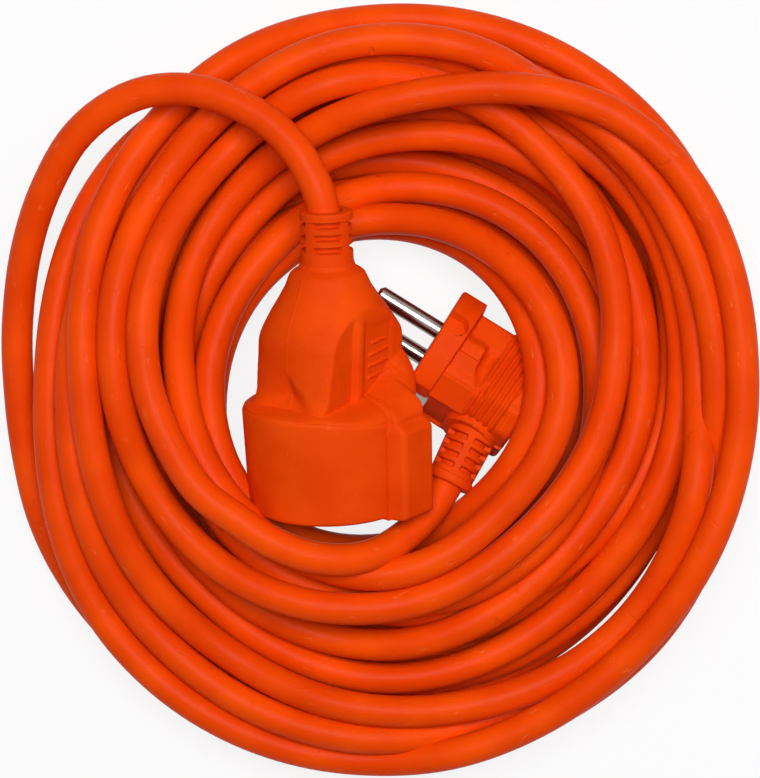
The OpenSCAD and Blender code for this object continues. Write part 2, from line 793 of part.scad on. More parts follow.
module plug_hollows() {
    // Seat of the carrier
    translate([0, 0, -bridge_t - seat_gap])
        cylinder(r = bridge_r + seat_gap, h = bridge_t + 1);
    // Room for the cores
    intersection() {
        translate([0, 0, -cavity_back])
            cylinder(r = cavity_r, h = cavity_back - bridge_t);
        plug_block(cavity_x, grip_low_h - 2, grip_half_h - 2, cavity_back, bridge_t);
    }
    // Slots for the earth strap, open on the flats and at the face
    plug_block(strip_w / 2 + seat_gap, flat_reach + 1, flat_reach + 1,
               bridge_t + strip_t + seat_gap, bridge_t - seat_gap);
    for (turn = [0, 180])
        rotate([0, 0, turn])
            translate([-strip_w / 2 - seat_gap, flat_reach - strip_t - seat_gap,
                       -bridge_t - strip_t - seat_gap])
            cube([strip_w + 2 * seat_gap, flange_r, bridge_t + strip_t + 1]);
    // Grooves for a socket's guide ribs, round at their ends
    for (side = [-1, 1]) {
        translate([side * (flange_r - groove_h / 2 + 0.5) - groove_h / 2 - 0.5, -groove_w / 2,
                   -groove_l + groove_w / 2])
            cube([groove_h + 1, groove_w, groove_l]);
        translate([side * (flange_r - groove_h / 2 + 0.5) - groove_h / 2 - 0.5, 0,
                   -groove_l + groove_w / 2])
            rotate([0, 90, 0])
            cylinder(r = groove_w / 2, h = groove_h + 1);
    }
    // Way out for the sheath, and the seat of the bend relief
    at_relief() {
        translate([0, 0, -8])
            cylinder(r = sheath_bore_r, h = 9);
        cylinder(r = plug_relief_root_r + seat_gap, h = plug_relief_l);
    }
}

module plug_strain_relief() {
    color("orangered")
    at_relief()
    difference() {
        union() {
            cylinder(r1 = plug_relief_root_r, r2 = plug_relief_tip_r, h = plug_relief_l);
            translate([0, 0, plug_relief_l - ring_h])
                cylinder(r = plug_relief_tip_r + 0.4, h = ring_h);
        }
        translate([0, 0, -1])
            cylinder(r = sheath_bore_r, h = plug_relief_l + 2);
        rotate([0, 0, 45])
            relief_slots(plug_relief_rows, plug_relief_root_r, 1.6,
                         (plug_relief_l - ring_h - 1.6) / plug_relief_rows);
    }
}

module plug_bridge() {
    color("orange")
    difference() {
        translate([0, 0, -bridge_t])
            cylinder(r = bridge_r, h = bridge_t);
        for (side = [-1, 1])
            translate([side * pin_pitch / 2, 0, -bridge_t - 1])
                cylinder(r = root_r + seat_gap, h = bridge_t + 2);
        translate([0, earth_hole_y, -bridge_t - 1])
            cylinder(r = pin_hole_r, h = bridge_t + 2);
    }
}

// A pin with a thinner root behind the face
module pin() {
    color("silver")
    rotate_extrude()
        polygon([[0, -root_l], [root_r, -root_l], [root_r, 0], [pin_r, 0], [pin_r, pin_l - tip_bevel],
                 [pin_r - tip_bevel, pin_l], [0, pin_l]]);
}

module plug_live_pin() {
    translate([pin_pitch / 2, 0, 0]) pin();
}

module plug_neutral_pin() {
    translate([-pin_pitch / 2, 0, 0]) pin();
}

module plug_earth_strap() {
    color("silver")
    difference() {
        union() {
            plug_block(strip_w / 2, flat_reach, flat_reach, bridge_t + strip_t, bridge_t);
            for (side = [-1, 1])
                translate([-strip_w / 2, side > 0 ? flat_reach - strip_t : -flat_reach,
                           -bridge_t - strip_t])
                    cube([strip_w, strip_t, bridge_t + strip_t - 1]);
            translate([0, earth_hole_y, -bridge_t - strip_t])
                cylinder(r = earth_contact_r + 1, h = strip_t);
        }
        translate([0, earth_hole_y, -bridge_t - strip_t - 1])
            cylinder(r = earth_contact_r + seat_gap, h = strip_t + 2);
    }
}

module plug_earth_contact() {
    color("goldenrod")
    translate([0, earth_hole_y, -bridge_t - earth_contact_l])
    difference() {
        cylinder(r = earth_contact_r, h = earth_contact_l - seat_gap);
        translate([0, 0, sleeve_end])
            cylinder(r = contact_bore_r, h = earth_contact_l);
    }
}

// Places of the cores where the sheath ends in the plug
relief_side = unit(cross(relief_dir, [0, 0, 1]));
relief_up = cross(relief_side, relief_dir);
plug_core_ends = [plug_sheath - core_offset * relief_side,
                  plug_sheath + core_offset * relief_side,
                  plug_sheath - (core_offset + 0.3) * relief_up];
plug_core_starts = [[pin_pitch / 2, 0, -root_l], [-pin_pitch / 2, 0, -root_l],
                    [0, earth_hole_y, -bridge_t - earth_contact_l]];

function plug_core(i) =
    let (from = plug_core_starts[i] - [0, 0, seat_gap],
         leave = plug_core_starts[i] - [0, 0, crimp_l + 1],
         to = plug_core_ends[i],
         bend = (leave + to) / 2 - [0, 0, i == 2 ? 2.2 : 1.5])
    [from, leave, bend, to - 2 * relief_dir, to];

module plug_live_core() {
    core(plug_core(0), "saddlebrown");
}

module plug_neutral_core() {
    core(plug_core(1), "royalblue");
}

module plug_earth_core() {
    core(plug_core(2), "yellowgreen");
}

module plug_crimps() {
    color("silver")
    for (start = plug_core_starts)
        translate(start - [0, 0, crimp_l])
            crimp();
}

cable_coil();
socket_lead();
plug_lead();
at_socket() socket_body();
at_socket() socket_strain_relief();
at_socket() socket_insert();
at_socket() socket_insert_cover();
at_socket() socket_live_contact();
at_socket() socket_neutral_contact();
at_socket() socket_earth_clip();
at_socket() socket_live_core();
at_socket() socket_neutral_core();
at_socket() socket_earth_core();
at_socket() socket_crimps();
at_plug() plug_body();
at_plug() plug_strain_relief();
at_plug() plug_bridge();
at_plug() plug_live_pin();
at_plug() plug_neutral_pin();
at_plug() plug_earth_strap();
at_plug() plug_earth_contact();
at_plug() plug_live_core();
at_plug() plug_neutral_core();
at_plug() plug_earth_core();
at_plug() plug_crimps();
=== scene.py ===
import bpy
import numpy as np
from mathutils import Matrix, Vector


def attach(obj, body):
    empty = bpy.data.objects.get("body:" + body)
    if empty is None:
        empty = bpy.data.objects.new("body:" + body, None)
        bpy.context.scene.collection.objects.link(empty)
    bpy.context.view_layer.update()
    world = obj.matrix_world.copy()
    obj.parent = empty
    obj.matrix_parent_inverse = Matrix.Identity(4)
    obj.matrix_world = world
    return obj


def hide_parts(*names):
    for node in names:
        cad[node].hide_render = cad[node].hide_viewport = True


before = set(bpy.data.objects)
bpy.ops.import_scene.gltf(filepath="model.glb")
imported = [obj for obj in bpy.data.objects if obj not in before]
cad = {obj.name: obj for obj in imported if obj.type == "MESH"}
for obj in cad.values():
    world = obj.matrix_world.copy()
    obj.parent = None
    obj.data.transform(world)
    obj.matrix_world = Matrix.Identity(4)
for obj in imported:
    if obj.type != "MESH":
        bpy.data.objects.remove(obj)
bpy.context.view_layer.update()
mm = 0.001
print("frame loaded, nodes:", len(cad))


# meshes from arrays

def unit(v):
    # each vector over its own length
    return v / np.maximum(np.linalg.norm(v, axis=-1, keepdims=True), 1e-12)


def smoothStep(a, b, x):
    # 0 at a, 1 at b, the cubic 3t^2 - 2t^3 in between; it falls along x where b is the smaller
    t = np.clip((x - a) / (b - a), 0, 1)
    return t * t * (3 - 2 * t)


def through(pairs, x):
    # straight lines through pairs of place and value
    places, values = np.transpose(pairs)
    return np.interp(x, places, values)


def addPiece(name, points, faces, material, uv=None):
    # points in mm, quads or triangles as rows of indices, uv as one pair for each corner
    mesh = bpy.data.meshes.new(name)
    mesh.from_pydata((np.asarray(points) * mm).tolist(), [], [list(f) for f in faces])
    if uv is not None:
        mesh.uv_layers.new(name="UVMap").uv.foreach_set("vector", np.asarray(uv, np.float32).ravel())
    mesh.polygons.foreach_set("use_smooth", np.ones(len(mesh.polygons), bool))
    mesh.materials.append(material)
    mesh.update()
    piece = bpy.data.objects.new(name, mesh)
    bpy.context.collection.objects.link(piece)
    return piece


def gridFaces(rows, cols):
    # quads of a grid whose columns close on themselves
    i, j = np.meshgrid(np.arange(rows - 1), np.arange(cols), indexing="ij")
    k = (j + 1) % cols
    quads = np.stack([i * cols + j, i * cols + k, (i + 1) * cols + k, (i + 1) * cols + j], -1)
    return quads.reshape(-1, 4)


def ringFaces(rows, cols):
    # quads of a grid that closes on itself across, and from its last row to its first too
    j = np.arange(cols)
    k = (j + 1) % cols
    last = (rows - 1) * cols
    return np.r_[gridFaces(rows, cols), np.stack([last + j, last + k, k, j], -1)]


def capFaces(rows, cols):
    # triangles from a grid's first and last row to the two points that follow the grid's own
    j = np.arange(cols)
    k = (j + 1) % cols
    last = (rows - 1) * cols
    first = np.stack([np.full(cols, rows * cols), k, j], -1)
    return np.r_[first, np.stack([np.full(cols, rows * cols + 1), last + j, last + k], -1)]


def tube(line, radius, sides):
    # rings of the radius about each point of the line, in the plane across it, with a point at each end
    n = len(line)
    forward = unit(np.gradient(line, axis=0))
    across = unit(np.cross(forward, [0, 0, 1.0]))
    upward = np.cross(across, forward)
    turn = np.linspace(0, 2 * np.pi, sides, endpoint=False)[None, :, None]
    rings = line[:, None] + radius * (np.cos(turn) * across[:, None] + np.sin(turn) * upward[:, None])
    points = np.r_[rings.reshape(-1, 3), line[:1], line[-1:]]
    faces = gridFaces(n, sides)[:, ::-1].tolist() + capFaces(n, sides)[:, [0, 2, 1]].tolist()
    # u runs round the tube from 0 to 1, v along it in metres
    run = np.r_[0, np.cumsum(np.linalg.norm(np.diff(line, axis=0), axis=1))] * mm
    i, j = np.meshgrid(np.arange(n - 1), np.arange(sides), indexing="ij")
    u, nextU, v, nextV = j / sides, (j + 1) / sides, run[i], run[i + 1]
    corners = [(u, nextV), (nextU, nextV), (nextU, v), (u, v)]
    uv = np.stack([np.stack(corner, -1) for corner in corners], 2).reshape(-1, 2)
    capUv = np.repeat([[0.5, 0.0], [0.5, run[-1]]], sides * 3, axis=0)
    return points, faces, np.r_[uv, capUv]


# finishes

class Value:
    # a socket that takes part in sums: each operator adds the Math node that it needs
    def __init__(self, maker, socket):
        self.maker, self.socket = maker, socket

    def __add__(self, other):
        return self.maker.math("ADD", self, other)

    def __radd__(self, other):
        return self.maker.math("ADD", other, self)

    def __sub__(self, other):
        return self.maker.math("SUBTRACT", self, other)

    def __rsub__(self, other):
        return self.maker.math("SUBTRACT", other, self)

    def __mul__(self, other):
        return self.maker.math("MULTIPLY", self, other)

    def __rmul__(self, other):
        return self.maker.math("MULTIPLY", other, self)

    def step(self, low, high):
        # 0 to 1 between low and high, smoothly
        return self.maker.node("ShaderNodeMapRange", dict(interpolation_type="SMOOTHSTEP"),
                               {"Value": self, "From Min": low, "From Max": high})


class Finish:
    # the nodes of a material or of the world: node() makes any of them from its type, its settings and what
    # its sockets get
    def __init__(self, owner):
        owner.use_nodes = True
        self.owner, self.tree = owner, owner.node_tree
        self.tree.nodes.clear()

    def node(self, kind, settings=None, sockets=None, out=0):
        made = self.tree.nodes.new(kind)
        for key, value in (settings or {}).items():
            setattr(made, key, value)
        for key, value in (sockets or {}).items():
            if isinstance(value, Value):
                self.tree.links.new(value.socket, made.inputs[key])
            else:
                made.inputs[key].default_value = value
        return Value(self, made.outputs[out]) if made.outputs else None

    def math(self, operation, *terms):
        return self.node("ShaderNodeMath", dict(operation=operation), dict(enumerate(terms)))

    def blend(self, share, a, b):
        # colour a where share is 0, b where it is 1
        a, b = (colour if isinstance(colour, Value) else (*colour, 1) for colour in (a, b))
        return self.node("ShaderNodeMix", dict(data_type="RGBA"), {0: share, 6: a, 7: b}, out=2)

    def noise(self, where, scale, detail=2.0, rough=0.5):
        return self.node("ShaderNodeTexNoise", dict(noise_dimensions="3D"),
                         {"Vector": where, "Scale": scale, "Detail": detail, "Roughness": rough})

    def place(self):
        return self.node("ShaderNodeTexCoord", out="Object")

    def stretched(self, where, x, y, z):
        return self.node("ShaderNodeVectorMath", dict(operation="MULTIPLY"), {0: where, 1: (x, y, z)})

    def split(self, where):
        x = self.node("ShaderNodeSeparateXYZ", None, {0: where})
        return [Value(self, output) for output in x.socket.node.outputs]

    def bump(self, height, distance, strength):
        sockets = {"Height": height, "Distance": distance, "Strength": strength}
        return self.node("ShaderNodeBump", None, sockets)

    def seen(self):
        # 1 for what the camera sees, straight on, in gloss or through glass
        ways = ("Is Camera Ray", "Is Glossy Ray", "Is Transmission Ray")
        straight, gloss, glass = (self.node("ShaderNodeLightPath", out=way) for way in ways)
        return self.math("MAXIMUM", self.math("MAXIMUM", straight, gloss), glass)

    def shade(self, varied, fixed):
        # varied changes over the surface and comes by links, fixed is the shader's own numbers
        shader = self.node("ShaderNodeBsdfPrincipled", None, {**fixed, **varied})
        self.node("ShaderNodeOutputMaterial", None, {"Surface": shader})
        return self.owner


# the darker and the lighter colour of each finish
shades = dict(
    sheath=((0.72, 0.047, 0.0005), (0.84, 0.072, 0.001)),
    moulding=((0.70, 0.046, 0.0005), (0.80, 0.068, 0.001)),
    greyPlastic=((0.20, 0.20, 0.205), (0.26, 0.26, 0.265)),
    carrier=((0.62, 0.05, 0.006), (0.70, 0.07, 0.009)),
    brass=((0.52, 0.34, 0.12), (0.76, 0.55, 0.24)),
    plated=((0.46, 0.45, 0.43), (0.66, 0.65, 0.62)),
    pin=((0.27, 0.25, 0.23), (0.36, 0.34, 0.31)),
    brown=((0.10, 0.035, 0.015), (0.14, 0.055, 0.025)),
    blue=((0.015, 0.09, 0.36), (0.03, 0.14, 0.46)),
    greenYellow=((0.62, 0.52, 0.02), (0.04, 0.28, 0.05)),
)
rubber = {"IOR": 1.47, "Specular IOR Level": 0.06}
hardPlastic = {"IOR": 1.5}


def sheathFinish():
    # rubber sheath: slow cloudiness, small dents across it, fine grain and the odd scuff, all laid on a
    # cylinder of the cable's length and girth, so that they follow it
    f = Finish(bpy.data.materials.new("sheath_rubber"))
    u, v, _ = f.split(f.node("ShaderNodeUVMap", dict(uv_map="UVMap")))
    turn, radius = u * (2 * np.pi), cable["thickness"] / 2 * mm
    ring = {0: f.math("COSINE", turn) * radius, 1: f.math("SINE", turn) * radius, 2: v}
    where = f.node("ShaderNodeCombineXYZ", None, ring)
    cloud = f.noise(where, 45, 3)
    grain = f.noise(where, 1400)
    dents = f.noise(f.stretched(where, 1, 1, 2.4), 105, 2, 0.55).step(0.71, 0.80)
    scuff = f.noise(f.stretched(where, 1.5, 1.5, 0.5), 330, 3, 0.6).step(0.62, 0.78)
    colour = f.blend(cloud.step(0.3, 0.75), *shades["sheath"])
    colour = f.blend(scuff * 0.25, colour, (0.95, 0.24, 0.07))
    height = 0.10 * grain - 0.6 * dents - 0.3 * scuff
    return f.shade({"Base Color": colour, "Roughness": 0.33 + 0.14 * cloud + 0.12 * scuff,
                    "Normal": f.bump(height, 0.0005, 0.9)}, rubber)


def mouldingFinish(name, dark, light):
    # moulded rubber: slow clouds of two near shades, a fine matt grain and faint scuffs
    f = Finish(bpy.data.materials.new(name))
    where = f.place()
    cloud = f.noise(where, 60, 3)
    grain = f.noise(where, 2400, 2, 0.6)
    scuff = f.noise(f.stretched(where, 1.4, 0.5, 1), 420, 3, 0.6).step(0.66, 0.8)
    colour = f.blend(cloud.step(0.3, 0.75), dark, light)
    colour = f.blend(scuff * 0.12, colour, (0.9, 0.3, 0.12))
    return f.shade({"Base Color": colour, "Roughness": 0.5 + 0.14 * cloud,
                    "Normal": f.bump(grain, 0.00010, 0.8)}, rubber)


def plasticFinish(name, dark, light):
    # hard plastic: two near shades in slow clouds, faint flow grain
    f = Finish(bpy.data.materials.new(name))
    where = f.place()
    cloud = f.noise(where, 90, 3)
    grain = f.noise(where, 1500)
    return f.shade({"Base Color": f.blend(cloud.step(0.3, 0.7), dark, light),
                    "Roughness": 0.42 + 0.12 * cloud, "Normal": f.bump(grain, 0.00006, 0.6)}, hardPlastic)


def metalFinish(name, dark, light, roughness, stretch, marks=1.0):
    # metal: tarnish in clouds, and fine lines of its working, close along the stretched direction
    f = Finish(bpy.data.materials.new(name))
    where = f.place()
    cloud = f.noise(where, 120, 4, 0.6)
    lines = f.noise(f.stretched(where, *stretch), 900)
    return f.shade({"Base Color": f.blend(cloud.step(0.35, 0.7), dark, light),
                    "Roughness": roughness + marks * (0.16 * cloud + 0.08 * lines),
                    "Normal": f.bump(lines, 0.00003 * marks, 0.5)}, {"Metallic": 1.0})


def stripedFinish(name, one, other):
    # core of two colours: bands that run round it aslant, the sine of a slanted distance
    f = Finish(bpy.data.materials.new(name))
    where = f.place()
    x, y, z = f.split(where)
    band = f.math("SINE", (x + y * 0.7 - z * 0.4) * 2400)
    cloud = f.noise(where, 200)
    return f.shade({"Base Color": f.blend(band.step(-0.15, 0.15), one, other),
                    "Roughness": 0.4 + 0.15 * cloud}, hardPlastic)


def paintCad():
    # the CAD solids that stay in view get their finish on their own slots
    grey = plasticFinish("grey_plastic", *shades["greyPlastic"])
    brass = metalFinish("brass", *shades["brass"], 0.24, (1, 1, 6))
    plated = metalFinish("plated_strip", *shades["plated"], 0.26, (5, 1, 1))
    pin = metalFinish("plated_pin", *shades["pin"], 0.2, (1, 5, 5), 0.25)
    finishes = {
        "socket_insert": grey, "socket_insert_cover": grey,
        "socket_live_contact": brass, "socket_neutral_contact": brass, "plug_earth_contact": brass,
        "socket_earth_clip": plated, "socket_crimps": plated,
        "plug_earth_strap": plated, "plug_crimps": plated,
        "plug_live_pin": pin, "plug_neutral_pin": pin,
        "plug_bridge": plasticFinish("carrier_plastic", *shades["carrier"]),
    }
    cores = dict(live=plasticFinish("brown_core", *shades["brown"]),
                 neutral=plasticFinish("blue_core", *shades["blue"]),
                 earth=stripedFinish("green_yellow_core", *shades["greenYellow"]))
    for end in ("socket", "plug"):
        for wire, finish in cores.items():
            finishes["%s_%s_core" % (end, wire)] = finish
    for node, finish in finishes.items():
        for slot in cad[node].material_slots:
            slot.material = finish


# the cable's way

cable = dict(
    thickness=8.4,      # mm across the sheath
    spacing=3.0,        # mm between the points of its line
    bend=36.0,          # radius in mm that it takes over what it crosses
    between=0.1,        # mm that crossing strands stay apart
    nesting=0.75,       # mm that each of two hidden turns gives where they press
    inner=47.5,         # radius in mm of the innermost hidden turn
    outer=94.5,         # radius in mm of the outermost hidden turn
    drawnIn=6.5,        # mm that they keep clear of the plug and of the socket's lead
    inwards=34,         # eighths of a turn of the hidden spiral that runs inwards
    outwards=33,        # and of the one on it that runs outwards
    spiralRank=0.5,     # of the spiral outwards, the one inwards has 0
    shownRank=1.9,      # stretches with a lower rank than this are hidden ones
    leadRank=6,
    endRank=5,
    sides=22,
)

# the socket's lead: x, y, height in mm, from inside the relief down to the floor beside the coil
socketLead = [
    (-13.7, 39.5, 49.3), (-14.71, 47.47, 51.6), (-16.9, 53.1, 52), (-21.1, 60.4, 51), (-27.7, 67.3, 50),
    (-36.1, 72.5, 49), (-44.6, 75.7, 48), (-52.7, 76.7, 46), (-61.1, 75.8, 43), (-69.8, 72.3, 39),
    (-78.1, 66.1, 34), (-86.7, 53.8, 28), (-93.5, 37.1, 22), (-96.9, 17.6, 16), (-96.9, -0.3, 12),
    (-95.3, -17, 9), (-91.6, -33.9, 7), (-68.9, -68.9, 5.2), (-33.2, -91.2, 4.2), (8.3, -95.1, 4.2),
]
leadOver = 13           # so many of its points lie over everything, the others on the floor
# the turns on top: radius in mm every 45 degrees, from the y axis round over -x, and the rank of each
# stretch: one with a higher rank lies over one with a lower rank
turns = [
    ([99.5, 91.6, 85.9, 94.1, 96.8, 98.5, 93.7, 100.7], [2.0] * 8),
    ([99.2, 88.6, 76.5, 79.3, 84.5, 89.3, 83.2, 87.5], [3.0] * 6 + [2.3] * 2),
    ([87.4, 83.8, 81.0, 87.7, 92.3, 91.2, 87.3, 88.5], [2.5] * 8),
    ([87.0, 80.0, 73.8, 71.8, 77.2, 76.5, 79.8, 83.5], [2.2] * 8),
    ([71.6, 66.8, 63.9, 65.6, 67.7, 64.5, 69.4, 73.1], [2.4] * 8),
    ([66.1, 56.0, 52.6, 53.7, 56.3, 58.0, 58.2, 58.5], [3.2] * 8),
    ([53.5, 46.1, 44.8, 45.3, 42.7, 39.6, 41.4, 43.4], [3.4] * 8),
    ([44.3, 44.6, 46.1, 49.5, 55.3, 60.0, 66.7, 76.1], [1.0] * 8),
    ([86.9, 91.7, 87.2, 96.1, 98.5, 94.5, 92.9, 93.4], [2.1] * 4 + [4.0] * 4),
    ([73.3, 62.3, 51.7, 48.1, 48.0, 44.3, 46.9, 46.7], [4.0] * 8),
    ([45.2, 43.6, 44.6, 50.3, 58.3, 67.1, 77.4, 86.7], [1.2] * 7 + [3.9]),
    ([90.2, 78.8, 68.1, 62.5, 56.6, 53.5, 60.3, 72.8], [3.9] * 8),
]
# the last stretch, down into the plug's relief: degrees and radius in mm
plugEnd = [(90, 80.7), (135, 70.2), (180, 59.5), (197, 55.3), (209, 53.1), (222, 49.5), (235, 47.9),
           (250, 46.0), (267.3, 42.7), (278.9, 39.0), (291.4, 34.9), (305.3, 30.6), (336.4, 27.1)]


def hiddenRadius(degrees, radius):
    # the hidden turns' own radius, drawn in by the square of the cosine beside the plug and beside the lead
    inner, outer, drawnIn = cable["inner"], cable["outer"], cable["drawnIn"]
    c = np.cos(np.radians(degrees))
    low, high = inner + drawnIn * max(0, c) ** 2, outer - drawnIn * max(0, -c) ** 2
    return low + (radius - inner) * (high - low) / (outer - inner)


def cableKnots():
    # rows of angle, radius, rank: the lead, a flat spiral inwards, one outwards on it, the turns on top
    rows = [[np.degrees(np.arctan2(y, x)) % 360, np.hypot(x, y), cable["leadRank"] if k < leadOver else 0]
            for k, (x, y, _) in enumerate(socketLead)]
    angle = 275.0
    inner, outer = cable["inner"], cable["outer"]
    spirals = ((cable["inwards"], outer, inner, 0), (cable["outwards"], inner, outer, cable["spiralRank"]))
    for count, start, end, rank in spirals:
        for i in range(count):
            angle += 45
            rows.append([angle, hiddenRadius(angle, start + (end - start) * (i + 1) / count), rank])
    angle += (90 - angle) % 360
    for radii, ranks in turns:
        for radius, rank in zip(radii, ranks):
            rows.append([angle, radius, rank])
            angle += 45
    return np.array(rows + [[angle - 90 + a, radius, cable["endRank"]] for a, radius in plugEnd])


def throughKnots(at, values, where):
    # cubic pieces through the knots, each slope the mean of its neighbours' weighted by their lengths
    h = np.diff(at)
    rise = np.diff(values) / h
    inside = (rise[:-1] * h[1:] + rise[1:] * h[:-1]) / (h[1:] + h[:-1])
    slope = np.r_[rise[0], inside, rise[-1]]
    i = np.clip(np.searchsorted(at, where, side="right") - 1, 0, len(at) - 2)
    t = (where - at[i]) / h[i]
    return ((1 + 2 * t) * (1 - t) ** 2 * values[i] + t * (1 - t) ** 2 * h[i] * slope[i]
            + t * t * (3 - 2 * t) * values[i + 1] + t * t * (t - 1) * h[i] * slope[i + 1])


def cablePlan():
    # evenly spaced points in plan along the curve through the knots, each with its rank and least height
    knots = cableKnots()
    angle, radius = np.radians(knots[:, 0]), knots[:, 1]
    arcs = np.hypot(np.diff(radius), 0.5 * (radius[1:] + radius[:-1]) * np.diff(angle))
    at = np.r_[0, np.cumsum(arcs)]
    where = np.linspace(0, at[-1], int(at[-1] / cable["spacing"]) + 1)
    turn, out = throughKnots(at, angle, where), throughKnots(at, radius, where)
    knot = np.clip(np.searchsorted(at, where + 1e-6, side="right") - 1, 0, len(at) - 1)
    least = np.interp(where, at[:len(socketLead)], [z for _, _, z in socketLead])
    return out * np.cos(turn), out * np.sin(turn), knots[knot, 2], least


def closePairs(ax, ay, bx, by, reach):
    # pairs i, j whose places in plan are nearer than reach, found through square cells of that width
    most, middle = 1000, 200        # cells across, and the one that the origin lies in
    ca, cb = (np.floor(np.c_[px, py] / reach).astype(int) + middle for px, py in ((ax, ay), (bx, by)))
    key = cb[:, 0] * most + cb[:, 1]
    order = np.argsort(key, kind="stable")
    key = key[order]
    allI, allJ = [], []
    for dx in (-1, 0, 1):
        for dy in (-1, 0, 1):
            wanted = (ca[:, 0] + dx) * most + ca[:, 1] + dy
            low = np.searchsorted(key, wanted, "left")
            count = np.searchsorted(key, wanted, "right") - low
            i = np.repeat(np.arange(len(ax)), count)
            within = np.arange(count.sum()) - np.repeat(np.cumsum(count) - count, count)
            j = order[np.repeat(low, count) + within]
            near = np.hypot(ax[i] - bx[j], ay[i] - by[j]) < reach
            allI.append(i[near])
            allJ.append(j[near])
    return np.concatenate(allI), np.concatenate(allJ)


def crossings(x, y, rank):
    # places that pass each other in plan, and how far the upper one's middle lies over the lower one's: the
    # root of their room squared less their distance in plan squared; hidden turns press into each other
    thick = cable["thickness"]
    i, j = closePairs(x, y, x, y, thick)
    apart = np.abs(i - j) * cable["spacing"] > 3 * thick
    i, j = i[apart], j[apart]
    hidden = (rank < cable["shownRank"]).astype(float)
    room = thick + cable["between"] - cable["nesting"] * (hidden[i] + hidden[j])
    gap = room ** 2 - (x[i] - x[j]) ** 2 - (y[i] - y[j]) ** 2
    return i[gap > 0], j[gap > 0], np.sqrt(gap[gap > 0])


def surfacePoints(node, count):
    # points spread evenly over a CAD node, in mm
    mesh = cad[node].data
    mesh.calc_loop_triangles()
    points = np.empty(len(mesh.vertices) * 3, np.float32)
    mesh.vertices.foreach_get("co", points)
    corners = np.empty(len(mesh.loop_triangles) * 3, np.int32)
    mesh.loop_triangles.foreach_get("vertices", corners)
    a, b, c = points.reshape(-1, 3)[corners.reshape(-1, 3)].transpose(1, 0, 2) / mm
    area = np.linalg.norm(np.cross(b - a, c - a), axis=1)
    rng = np.random.default_rng(4)
    pick = rng.choice(len(area), count, p=area / area.sum())
    u, v = rng.random((2, count, 1))
    over = u + v > 1
    u, v = np.where(over, 1 - u, u), np.where(over, 1 - v, v)
    return a[pick] + u * (b - a)[pick] + v * (c - a)[pick]


def raiseOverPlug(ground, x, y, rank):
    # where a strand crosses the plug its middle lies the root of radius squared less distance squared above
    # the plug's surface; the hidden spirals and the cable's own end beside the plug aren't raised
    radius, own = cable["thickness"] / 2, 34        # mm, the last one along the cable
    shell = surfacePoints("plug_body", 40000)
    i, j = closePairs(x, y, shell[:, 0], shell[:, 1], radius)
    square = radius ** 2 - (x[i] - shell[j, 0]) ** 2 - (y[i] - shell[j, 1]) ** 2
    over = shell[j, 2] + np.sqrt(np.maximum(square, 0))
    free = (i < len(x) - int(own / cable["spacing"])) & (rank[i] > cable["spiralRank"])
    np.maximum.at(ground, i[free], over[free])


def softened(z, width):
    # mean with the neighbours, weighted by a bell of that width, the ends carried on in their own slope
    k = np.arange(-int(3 * width), int(3 * width) + 1)
    w = np.exp(-0.5 * (k / width) ** 2)
    h = len(k) // 2
    carried = np.r_[2 * z[0] - z[h:0:-1], z, 2 * z[-1] - z[-2:-h - 2:-1]]
    return np.convolve(carried, w / w.sum(), "valid")


def hang(support, ends):
    # the cable over its supports: from each it falls by way^2 / (2 bend) to both sides, and beside a
    # stretch that lies already it rises by way^2 / (1.6 bend) at most
    step, bend = cable["spacing"], cable["bend"]
    farthest, shortest = 40, 20     # spacings that a support is felt, and points of a stretch to be softened
    line = support.copy()
    for k in range(1, min(farthest, len(line))):
        drop = (k * step) ** 2 / (2 * bend)
        line[k:] = np.maximum(line[k:], support[:-k] - drop)
        line[:-k] = np.maximum(line[:-k], support[k:] - drop)
    way = (np.arange(len(line)) + 1) * step
    for end, far in zip(ends, (way, way[::-1])):
        if not np.isnan(end):
            line = np.minimum(line, end + far ** 2 / (1.6 * bend))
            line = np.maximum(line, np.maximum(end - far ** 2 / (2 * bend), cable["thickness"] / 2))
    return softened(line, 2.4) if len(line) > shortest else line


def followReliefs(z):
    # the two ends lie on the axes of their reliefs, and from the plug's relief on a parabola is the ceiling
    inside, height = 16.0, 26.7     # mm of cable in the plug and its relief, and how high it comes out
    back = np.arange(len(z) - 1, -1, -1) * cable["spacing"] - inside
    line = np.where(back > 0, height + 0.14 * back + back ** 2 / 60, height + 0.139 * back)
    near = back < 40
    z[near] = np.where(back[near] > 0, np.minimum(z[near], line[near]), line[near])
    z[:4] = 49.4, 50.2, 51.1, 51.8      # rising in the socket's relief
    return np.maximum(softened(z, 2.2), cable["thickness"] / 2)


def layCable():
    # rank by rank each stretch drops on the floor, on the plug and on what lies there already
    x, y, rank, least = cablePlan()
    i, j, gap = crossings(x, y, rank)
    ground = np.maximum(least, cable["thickness"] / 2)
    raiseOverPlug(ground, x, y, rank)
    z = np.full(len(x), np.nan)
    for level in np.unique(rank):
        places = np.flatnonzero(rank == level)
        for run in np.split(places, np.flatnonzero(np.diff(places) > 1) + 1):
            a, b = run[0], run[-1] + 1
            ends = z[a - 1] if a > 0 else np.nan, z[b] if b < len(z) else np.nan
            support = ground[a:b].copy()
            laid = (i >= a) & (i < b) & ~np.isnan(z[j])
            np.maximum.at(support, i[laid] - a, (z[j] + gap)[laid])
            if level == cable["endRank"]:
                support[-5:] = -50      # nothing carries it inside the plug
            # a stretch that crosses itself is laid a few times, each time on what it was before
            own = (i >= a) & (i < b) & (j >= a) & (j < b) & (i > j)
            for again in range(4 if own.any() else 1):
                z[a:b] = hang(support, ends)
                np.maximum.at(support, i[own] - a, (z[j] + gap)[own])
    return np.c_[x, y, followReliefs(z)]


cableLine = layCable()


